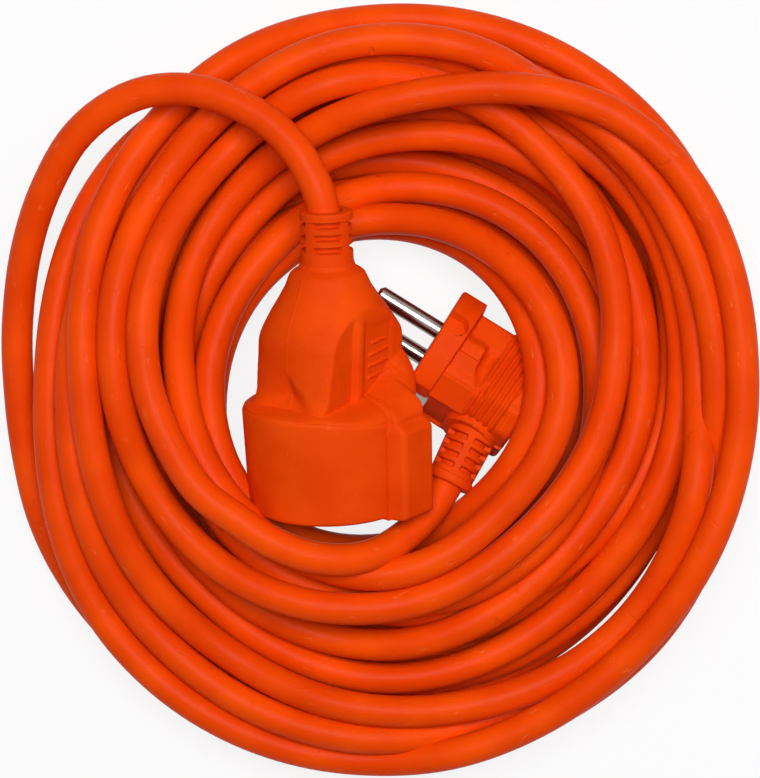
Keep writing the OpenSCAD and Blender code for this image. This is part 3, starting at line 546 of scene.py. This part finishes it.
def buildCable():
    points, faces, uv = tube(cableLine, cable["thickness"] / 2, cable["sides"])
    piece = addPiece("cable", points, faces, sheathFinish(), uv)
    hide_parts("cable_coil", "socket_lead", "plug_lead")
    return piece


# moulded bodies: a radius over the angle about an axis and the distance along it

def softMin(a, b, k):
    # the smaller of two, with a round of about k where they meet
    h = np.clip(0.5 + 0.5 * (b - a) / k, 0, 1)
    return b + (a - b) * h - k * h * (1 - h)


def softMax(a, b, k):
    return -softMin(-a, -b, k)


def bell(x, width):
    # (1 - t^2)^2 of the distance over the width: 1 in the middle, smoothly 0 from the width on
    t = np.clip(np.abs(x) / width, 0, 1)
    return (1 - t * t) ** 2


def edgeRound(run, r):
    # what a round of radius r takes off at a distance from the edge: a quarter of a circle
    return np.where(run < r, r - np.sqrt(np.maximum(r * r - (r - run) ** 2, 0)), 0)


def outlineRadius(turn, corners):
    # how far a ray at each angle goes to a closed outline given by its corners
    p = np.asarray(corners, float)
    a = np.arctan2(p[:, 1], p[:, 0])
    order = np.argsort(a)
    p, a = p[order], a[order]
    k = np.searchsorted(a, (turn + np.pi) % (2 * np.pi) - np.pi) % len(p)
    p1, p2 = p[k - 1], p[k]
    dx, dy = np.cos(turn), np.sin(turn)
    ex, ey = p2[..., 0] - p1[..., 0], p2[..., 1] - p1[..., 1]
    return (p1[..., 0] * ey - p1[..., 1] * ex) / (dx * ey - dy * ex)


def axesOf(heading, tilt, roll, hand=1):
    # an axis from its heading and tilt in degrees, and the two across it, which the roll turns about it;
    # hand -1 mirrors them, so that the angle runs the other way round
    h, t, r = np.radians((heading, tilt, roll))
    axis = np.array([np.cos(h) * np.cos(t), np.sin(h) * np.cos(t), np.sin(t)])
    side = hand * np.array([np.sin(h), -np.cos(h), 0])
    up = np.array([-np.cos(h) * np.sin(t), -np.sin(h) * np.sin(t), np.cos(t)])
    return np.cos(r) * side + np.sin(r) * up, np.sin(r) * side - np.cos(r) * up, axis


def placed(radius, turn, depth, origin, axes):
    # a grid of radius over rows of depth and columns of angle, set along the axis
    xAxis, yAxis, axis = axes
    cos, sin = np.cos(turn)[None, :, None], np.sin(turn)[None, :, None]
    return (np.asarray(origin) + radius[..., None] * (cos * xAxis + sin * yAxis)
            + depth[..., None] * axis).reshape(-1, 3)


def withInside(radius, depth, inside):
    # the outside's grid, and a row more for each pair of radius and distance on the inside
    size = (1, radius.shape[1])
    rows = [np.broadcast_to(np.asarray(r, float), size) for r, _ in inside]
    depths = [np.full(size, float(at)) for _, at in inside]
    return np.concatenate([radius] + rows), np.concatenate([depth] + depths)


def addMoulding(name, points, faces, material):
    # smooth but for edges of more than 0.6 radians
    piece = addPiece(name, points, faces, material)
    piece.data.set_sharp_from_angle(angle=0.6)
    return piece


def quarter(count):
    # 1 to 0 in steps that close up towards 0: one less the sine over a quarter of a turn
    return 1 - np.sin(np.linspace(0, np.pi / 2, count))


socket = dict(
    origin=(-12.7, -29.4, 29.555),
    axes=axesOf(heading=91.5, tilt=16, roll=40),
    frontRadius=21.5,   # mm, the collar at its face
    rearRadius=22.5,    # mm, the collar at its shoulder
    faceRound=1.2,
    bodyEnd=64.5,       # mm from the face to the relief
    lean=1.15,          # mm that the grip stands to the right of the collar's axis
    scoop=1.9,          # mm that the faces beside the grip's corner ridges are hollowed
    ribHeight=0.85,
    barHeight=0.6,
    bars=(44.4, 41.45, 38.5, 35.5),     # mm from the face, the first one shorter
    recessRadius=19.5,
    recessDepth=17.4,
    seatRadius=17.6,    # mm, the insert's seat behind the recess
    seatDepth=21.6,
    slotReach=22.4,     # mm from the axis to the floor of the earth clip's slots
    slotHalf=3.65,
    guideReach=17.9,    # mm from the axis to the guide ribs
    guideHalf=2.3,
    pocket=(8.0, 14.6),     # mm, half of the room of the contacts
    pocketEnd=40.95,
    bore=4.3,           # mm, radius of the cable's way
    columns=380,
)
# by distance from the face: the grip's half width, its section's power, which is 2 for a circle, and how
# far from the axis its flat faces lie
gripWidth = [(26, 18.9), (33, 17.7), (41, 17.3), (45, 17.3), (47, 17.0), (48.5, 16.5), (50, 15.9),
             (52.5, 14.6), (55, 13.1), (58.5, 11.0), (60.3, 10.3), (61.6, 9.7), (62.4, 8.8), (63.2, 7.4),
             (64.5, 7.0)]
gripPower = [(28, 3.2), (37, 2.9), (46, 2.5), (50, 2.15), (55, 2.0)]
gripFlat = [(28, 11.9), (46.5, 13.0), (54, 13.5)]
# the block beside the collar: half of its outline, x outwards, y down, and the corners that close it inside
blockOutline = [(17, -8), (20.5, -3.9), (22.2, -3.1), (25.9, -2.15), (26.6, -1.6), (26.9, -0.7),
                (26.9, 8.9), (26.4, 9.8), (25.3, 10.3), (18, 12), (0.1, -12), (0.1, 12), (-5, -1), (-5, 1)]
# by degrees from the top: where the shoulder starts and ends, and the power of its curve
shoulderStart = [(0, 27.7), (35, 27.5), (73, 25.9), (95, 25.4), (180, 25.4)]
shoulderEnd = [(0, 28.9), (35, 29.1), (60, 30.0), (73, 30.6), (90, 31.6), (110, 34.5), (130, 39.5),
               (150, 41), (180, 41)]
shoulderPower = [(35, 2.2), (73, 1.7), (110, 2.5)]


def flatFace(fold, s):
    # the grip's flat faces, over cos: a rib at the panel's edge, a fall beside it, slanted bars on the panel
    flat = through(gripFlat, s)
    across = flat * np.tan(np.clip(fold, -1.45, 1.45))
    rib = socket["ribHeight"] * bell(across + 3.6, 2.6) * smoothStep(53.8, 48, s)
    fall = 0.75 * smoothStep(-15.5, -6.2, across) * smoothStep(-4.6, -6.2, across) * smoothStep(54.5, 47, s)
    panel = 0.35 * smoothStep(-2.4, -1.2, across) * smoothStep(9.4, 8.4, across) * smoothStep(51, 48, s)
    bars = 0
    for at in socket["bars"]:
        first, last = (1.2, 1.4) if at == socket["bars"][0] else (0, 0)
        long = smoothStep(-0.3, 0.5, across - first) * smoothStep(8.2, 7.5, across + last)
        bars = bars + socket["barHeight"] * bell(s - at - 0.11 * (across - 0.5), 0.62) * long
    return (flat + rib - fall - panel + bars) / np.cos(np.clip(fold, -1.35, 1.35))


def socketGrip(turn, s):
    # domed neck and grip, half width / (x^p + y^p)^(1/p), cut by the flat faces
    x, y = np.abs(np.cos(turn)), np.sin(turn)
    fold = np.arctan2(y, x)
    power = through(gripPower, s)
    power = np.where(y > 0, np.minimum(power, 2.5), power)
    grip = through(gripWidth, s) / (x ** power + np.abs(y) ** power) ** (1 / power)
    grip = softMin(grip, flatFace(fold, s), 0.55)
    # three-cornered hollow on the narrow sides, from the ridges' feet up to a point
    offset = np.cos(turn) * grip
    top = np.interp(np.abs(offset), [0, 12.2], [39.5, 29.0])
    hollow = smoothStep(0.0, 6.5, top - s) * bell(offset, 16)
    grip = grip - socket["scoop"] * hollow * smoothStep(0.7, 1.0, np.abs(fold))
    # thin line where the mould parts
    return grip + 0.13 * bell(np.cos(turn) * grip, 0.3) * smoothStep(29, 30, s)


def socketOutside(turn, s):
    # collar and blocks, and from the shoulder's start the grip plus 1 - u^power of their height over it
    fold = np.arctan2(np.sin(turn), np.abs(np.cos(turn)))
    collar = np.interp(s, [0, 28], [socket["frontRadius"], socket["rearRadius"]])
    block = outlineRadius(fold, blockOutline) - 2.1 * smoothStep(23.0, 25.8, s) - 0.15 * (1 - s / 25)
    outer = softMax(collar, block, 0.5)
    grip = socketGrip(turn, s)
    away = np.degrees(fold) + 90
    start, end, power = (through(pairs, away) for pairs in (shoulderStart, shoulderEnd, shoulderPower))
    u = np.clip((s - start) / (end - start), 0, 1)
    shoulder = grip + (outer - grip) * (1 - u ** power)
    radius = np.where(s < start, outer, np.maximum(grip, shoulder))
    # rounds at the shoulder's edge and at the face
    edge = np.clip((s - start + 0.9) / 0.9, 0, 1)
    radius = radius - 0.35 * np.where(s < start, edge ** 2, np.maximum(1 - 2 * u, 0) ** 2)
    return radius - edgeRound(s, socket["faceRound"])


def socketColumns():
    # even columns, with more at the edges of slots and guide ribs and along the blocks' slanted side
    edges = [middle + side * half + gap for middle, half in ((0, 9.4), (180, 9.4), (90, 7.4), (270, 7.4))
             for side in (-1, 1) for gap in (-0.35, 0.35)]
    marks = np.r_[edges, np.arange(-9, -1, 0.4), np.arange(181, 189, 0.4)] % 360
    return np.radians(np.unique(np.r_[np.linspace(0, 360, socket["columns"], endpoint=False), marks]))


def socketInside(turn):
    # recess with two guide ribs and the slots of the earth clip, seat, pocket, and the way of the cores
    c = socket
    x, y = np.abs(np.cos(turn)), np.abs(np.sin(turn))
    slot = c["slotReach"] * y < c["slotHalf"] * x
    guide = c["guideReach"] * x < c["guideHalf"] * y
    wide, high = c["pocket"]
    pocket = np.minimum(wide / np.maximum(x, 1e-6), high / np.maximum(y, 1e-6))
    radii = (c["recessRadius"], c["seatRadius"], pocket)
    bare, seat, slotted = (np.where(slot, c["slotReach"] / x, r) for r in radii)
    ribbed = np.where(guide, np.minimum(c["guideReach"] / np.maximum(y, 1e-6), bare), bare)
    return [(np.maximum(bare, c["recessRadius"] + 0.5), 0.0), (bare, 0.45), (bare, 2.3), (ribbed, 2.5),
            (ribbed, c["recessDepth"]), (seat, c["recessDepth"]), (seat, c["seatDepth"]),
            (slotted, c["seatDepth"]), (slotted, c["seatDepth"] + 0.8), (pocket, c["seatDepth"] + 0.8),
            (pocket, c["pocketEnd"]), (11.6, c["pocketEnd"]), (c["bore"], 53), (c["bore"], c["bodyEnd"])]


def buildSocketBody(material):
    c = socket
    turn = socketColumns()
    # rows from the relief down to the face, closer where it bends
    outside = np.r_[np.linspace(c["bodyEnd"], 60, 12), np.linspace(59.6, 47, 32),
                    np.linspace(46.7, 33.5, 45), np.linspace(33.2, 22, 42), np.linspace(21, 2, 14),
                    c["faceRound"] * quarter(7)]
    t, s = np.meshgrid(turn, outside)
    radius, depth = withInside(socketOutside(t, s), s, socketInside(turn))
    points = placed(radius, turn, depth, c["origin"], c["axes"])
    lean = c["lean"] * smoothStep(25, 33, s) - 0.35 * smoothStep(45, 64, s)
    points[:lean.size, 0] += lean.ravel()
    piece = addMoulding("socket_shell", points, ringFaces(*radius.shape)[:, ::-1], material)
    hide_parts("socket_body")
    return piece


plug = dict(
    origin=(13.6, 12, 18.5),
    axes=axesOf(heading=-31.7, tilt=0, roll=66, hand=-1),
    radius=18.5,        # mm, the flange
    flat=16.0,          # mm from the middle to its two flats
    flange=7.0,         # mm thick
    depth=30.5,         # mm from the face to the back
    halfWidth=14.0,     # mm, the grip along the line of the pins
    slant=66,           # degrees of the slanted flats
    grooveHalf=2.6,     # mm, the groove of the socket's guide rib, round at its end
    strapHalf=3.6,      # mm, the seat of the earth strap
    ridges=5,
    firstRidge=17.6,    # mm behind the face
    ridgeHeight=0.95,
    ridgePitch=2.0,
    outletRadius=7.3,   # mm, the housing of the cable's outlet
    outletDepth=20.4,   # mm behind the face
    seatRadius=13.65,   # mm, the carrier's seat, and how deep it is
    seatDepth=6.05,
    roomRadius=12.5,    # mm, the room behind it, and how deep that ends
    roomDepth=26.0,
    columns=360,
)


def plugFlange(x, y, w):
    # a disc cut by flats and slanted flats, with a groove on each side and the strap's seat on the flats
    c = plug
    down, slope = np.maximum(np.abs(y), 1e-3), np.radians(c["slant"])
    slant = np.where(y > 0, np.cos(slope) * x + np.sin(slope) * down, 1e-3)
    flange = np.minimum(np.minimum(c["radius"], c["flat"] / down), 16.25 / slant)
    reach = np.hypot(flange * y, np.maximum(w - 3.4, 0)) / c["grooveHalf"]
    groove = smoothStep(1.06, 0.94, reach) * (np.abs(np.arctan2(y, x)) < np.radians(30))
    flange = flange + (np.minimum(16.2 / np.maximum(x, 1e-3), flange) - flange) * groove
    strap = (np.abs(flange * x) < c["strapHalf"]) & (w < 6.95)
    return np.where(strap, 15.15 / down, flange), strap


def plugGrip(x, y, w):
    # flat along both sides and slanted above and below, with ridges, saddle, hollow, outlet and back plate
    c = plug
    down, safe, slope = np.maximum(np.abs(y), 1e-3), np.maximum(x, 1e-3), np.radians(c["slant"])
    fold = np.degrees(np.arctan2(y, x))
    slant = np.where(y > 0, np.cos(slope) * x + np.sin(slope) * down, 1e-3)
    low = np.cos(np.radians(np.clip(fold + 53, -80, 80)))
    grip = softMin(c["halfWidth"] / safe, 13.3 / slant, 1.0)
    grip = softMin(grip, np.where(y > 0, 14.6, 15.4) / down, 1.0)
    grip = softMin(grip, np.where(y < 0, 17.0 / low, 1e3), 1.0)
    across = grip * y
    for i in range(c["ridges"]):
        at = c["firstRidge"] + c["ridgePitch"] * i + 0.06 * across
        long = smoothStep(-16.5, -14.5, across) * smoothStep(9.5, 8.0, across)
        grip = grip + c["ridgeHeight"] * bell(w - at, 0.95) * long
    # saddle that widens to the back in an arc, the band above it, and the flat below it
    arc = 13.2 + 2.6 * smoothStep(-14, -42, fold) ** 2
    saddle = smoothStep(-43, -41, fold) * smoothStep(-14, -17, fold) * smoothStep(0.25, -0.25, w - arc)
    band = smoothStep(-18, -16, fold) * smoothStep(9, -6, fold) * smoothStep(0.6, -0.6, w - 13.2)
    flat = smoothStep(-41, -42, fold) * smoothStep(-68, -66.5, fold) * smoothStep(0.25, -0.25, w - 16.4)
    dish = 17.0 - 0.7 * np.cos(np.radians(np.clip((fold + 29) * 6, -90, 90)))
    for reach, share in ((dish, saddle), (16.2, band), (17.3 / low, flat)):
        grip = grip + (np.maximum(reach, grip) - grip) * share
    # hollow behind the saddle
    grip = grip - 1.3 * bell(w - arc - 1.9, 2.4) * smoothStep(-45, -38, fold) * smoothStep(8, -2, fold)
    # housing of the cable's outlet on the low side, and the back plate
    outlet = np.sqrt(np.maximum(c["outletRadius"] ** 2 - (w - c["outletDepth"]) ** 2, 0)) - grip * x
    housing = smoothStep(-0.3, 0.5, outlet) * (y < 0) * smoothStep(12.9, 13.6, w)
    grip = grip + (17.4 / np.maximum(down, 0.5) - grip) * housing
    plate = softMin(softMin(15.2 / safe, 16.4 + 0 * w, 0.8), softMin(15.3 / down, 14.6 / slant, 0.8), 0.8)
    return grip + (np.maximum(plate, grip) - grip) * smoothStep(25.9, 26.3, w), across


def plugOutside(turn, w):
    # the flange, then the grip, with rounds at the face and at the back, which spare the strap's seat
    x, y = np.abs(np.cos(turn)), np.sin(turn)
    flange, strap = plugFlange(x, y, w)
    grip, across = plugGrip(x, y, w)
    edge = plug["flange"]
    radius = flange + (grip - flange) * smoothStep(edge - 0.3, edge + 0.3, w - 0.05 * across)
    for run, r in ((w, 0.9), (plug["depth"] - w, 1.4)):
        radius = radius - edgeRound(run, r) * np.where(strap, 0.2, 1)
    return radius


def buildPlugBody(material):
    c = plug
    depth, centre, along = c["depth"], np.array(c["origin"]), c["axes"][2]
    edge = np.degrees(np.arcsin(c["strapHalf"] / c["flat"]))
    marks = [at + side * (edge + gap) for at in (90, 270) for side in (-1, 1) for gap in (-0.1, 0.1)]
    turn = np.radians(np.unique(np.r_[np.linspace(0, 360, c["columns"], endpoint=False), marks]))
    # rows from the back to the face, closest over the ridges
    back = depth - 1.4 * (1 - np.cos(np.linspace(0, np.pi / 2, 6)))
    outside = np.r_[back, np.arange(28.8, 27, -0.45), np.arange(27, 5.4, -0.2), np.arange(5.2, 1.0, -0.4),
                    0.9 * quarter(6)]
    t, w = np.meshgrid(turn, outside)
    radius = plugOutside(t, w)
    # the back's face, then the outside, then the seat of the carrier and the room behind it
    radius, w = np.r_[radius[:1] * 0.3, radius[:1] * 0.65, radius], np.r_[np.full((2, len(turn)), depth), w]
    inside = [(c["seatRadius"], 0.0), (c["seatRadius"], c["seatDepth"]), (c["roomRadius"], c["seatDepth"]),
              (c["roomRadius"], c["roomDepth"]), (6.0, c["roomDepth"])]
    radius, w = withInside(radius, w, inside)
    poles = [centre + depth * along, centre + c["roomDepth"] * along]
    points = np.r_[placed(radius, turn, w, centre, c["axes"]), poles]
    faces = gridFaces(*radius.shape).tolist() + capFaces(*radius.shape).tolist()
    piece = addMoulding("plug_shell", points, faces, material)
    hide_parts("plug_body")
    return piece


reliefs = dict(
    socket_relief=dict(
        node="socket_strain_relief", origin=(-13.45, 32.45, 47.3), axes=socket["axes"],
        length=13.5, root=6.8, tip=6.5,         # mm, and the radius at both ends
        ring=2.1, rise=0.3,                     # mm, the raised ring at the end
        rows=3, first=4.1, pitch=3.25, height=1.5,              # mm, the rows of slots
        half=32, soft=1.5, centres=(0, 90), turned=-46),        # degrees, how far a slot reaches round
    plug_relief=dict(
        node="plug_strain_relief", origin=(24.87, -10.85, 24.52),
        axes=axesOf(heading=243.17, tilt=7.9, roll=90),
        length=16.0, root=6.5, tip=5.8, ring=2.3, rise=0.4,
        rows=4, first=3.3, pitch=2.68, height=1.2,
        half=30, soft=2.5, centres=(41,), turned=0),
)
slotFloor = 4.8         # mm, radius that the slots leave
reliefBore = 4.35
tipRound = 0.6


def buildRelief(name, material):
    # hollow cone with a raised ring at its end; each row has slots mirrored about two planes, which leave
    # only a thin floor
    c = reliefs[name]
    turn = np.linspace(0, 2 * np.pi, 216, endpoint=False)
    end = c["length"]
    outside = np.r_[np.arange(0, end - tipRound, 0.14), end - tipRound * quarter(5)]
    t, s = np.meshgrid(turn, outside)
    ring = smoothStep(end - c["ring"] - 0.25, end - c["ring"], s)
    radius = np.interp(s, [0, end], [c["root"], c["tip"]]) + c["rise"] * ring
    facing = np.abs((np.degrees(t) - c["turned"] + 90) % 180 - 90)
    away = np.min([np.abs(facing - centre) for centre in c["centres"]], axis=0)
    for i in range(c["rows"]):
        row = np.abs(s - c["first"] - i * c["pitch"]) - c["height"] / 2
        cut = smoothStep(0.15, -0.12, row) * smoothStep(c["soft"], -c["soft"], away - c["half"])
        radius = radius + (slotFloor - radius) * cut
    radius = radius - edgeRound(end - s, tipRound)
    radius, depth = withInside(radius, s, [(reliefBore, end), (reliefBore, 0)])
    points = placed(radius, turn, depth, c["origin"], c["axes"])
    piece = addMoulding(name, points, ringFaces(*radius.shape), material)
    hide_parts(c["node"])
    return piece


paintCad()
moulding = mouldingFinish("moulded_rubber", *shades["moulding"])
pieces = [buildSocketBody(moulding), buildPlugBody(moulding)]
pieces += [buildRelief(name, moulding) for name in reliefs]
pieces.append(buildCable())
print("cable, socket and plug built")


# light, floor and camera

studio = dict(
    lamps=dict(         # place in m, size in m, power in W
        lampTop=((0.02, 0.15, 0.95), 0.5, 8.2),
        lampLeft=((-1.0, -0.25, 0.75), 0.7, 0.7),
        lampRight=((0.95, 0.3, 0.7), 0.6, 2.1),
    ),
    aim=(0, 0, 0.02),
    sky=0.185,          # strength of the even light from all round
    floor=3.0,          # m from the middle to its edge
    floorWhite=0.84,    # share of pure white in what is seen of it, the rest takes the shadow
    height=0.7,         # m, the camera over the ground
    lens=121.19,        # mm for a 36 mm wide sensor
)


def addObject(name, data, place=(0, 0, 0)):
    made = bpy.data.objects.new(name, data)
    bpy.context.collection.objects.link(made)
    made.location = place
    return made


def addLamps():
    for name, (place, size, power) in studio["lamps"].items():
        lamp = bpy.data.lights.new(name, "AREA")
        lamp.shape, lamp.size, lamp.energy = "DISK", size, power
        lookAt = (Vector(studio["aim"]) - Vector(place)).to_track_quat("-Z", "Y")
        addObject(name, lamp, place).rotation_euler = lookAt.to_euler()


def addWorld():
    # soft light from all round, white where it is seen
    world = bpy.data.worlds.new("studio")
    bpy.context.scene.world = world
    f = Finish(world)
    soft, white = (f.node("ShaderNodeBackground", None, {"Strength": s}) for s in (studio["sky"], 1.0))
    mixed = f.node("ShaderNodeMixShader", None, {0: f.seen(), 1: soft, 2: white})
    f.node("ShaderNodeOutputWorld", None, {"Surface": mixed})


def addFloor():
    # a square just below the ground: paper, mixed with white where it is seen
    far, below = studio["floor"], -0.0002
    mesh = bpy.data.meshes.new("floor")
    corners = [(-far, -far, below), (far, -far, below), (far, far, below), (-far, far, below)]
    mesh.from_pydata(corners, [], [[0, 1, 2, 3]])
    f = Finish(bpy.data.materials.new("floor_white"))
    paper = f.node("ShaderNodeBsdfDiffuse", None, {"Color": (0.82, 0.82, 0.82, 1)})
    shine = f.node("ShaderNodeEmission", None, {"Color": (1, 1, 1, 1), "Strength": 1.0})
    mixed = f.node("ShaderNodeMixShader", None, {0: f.seen() * studio["floorWhite"], 1: paper, 2: shine})
    f.node("ShaderNodeOutputMaterial", None, {"Surface": mixed})
    mesh.materials.append(f.owner)
    floor = addObject("floor", mesh)


def addCamera():
    camera = bpy.data.cameras.new("camera")
    camera.sensor_fit, camera.sensor_width, camera.lens = "HORIZONTAL", 36, studio["lens"]
    camera.clip_start, camera.clip_end = 0.05, 20
    bpy.context.scene.camera = addObject("camera", camera, (0, 0, studio["height"]))
    bpy.context.scene.view_settings.view_transform = "Standard"


for stage in (addLamps, addWorld, addFloor, addCamera):
    stage()
for piece in pieces:
    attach(piece, "root")
print("studio set")
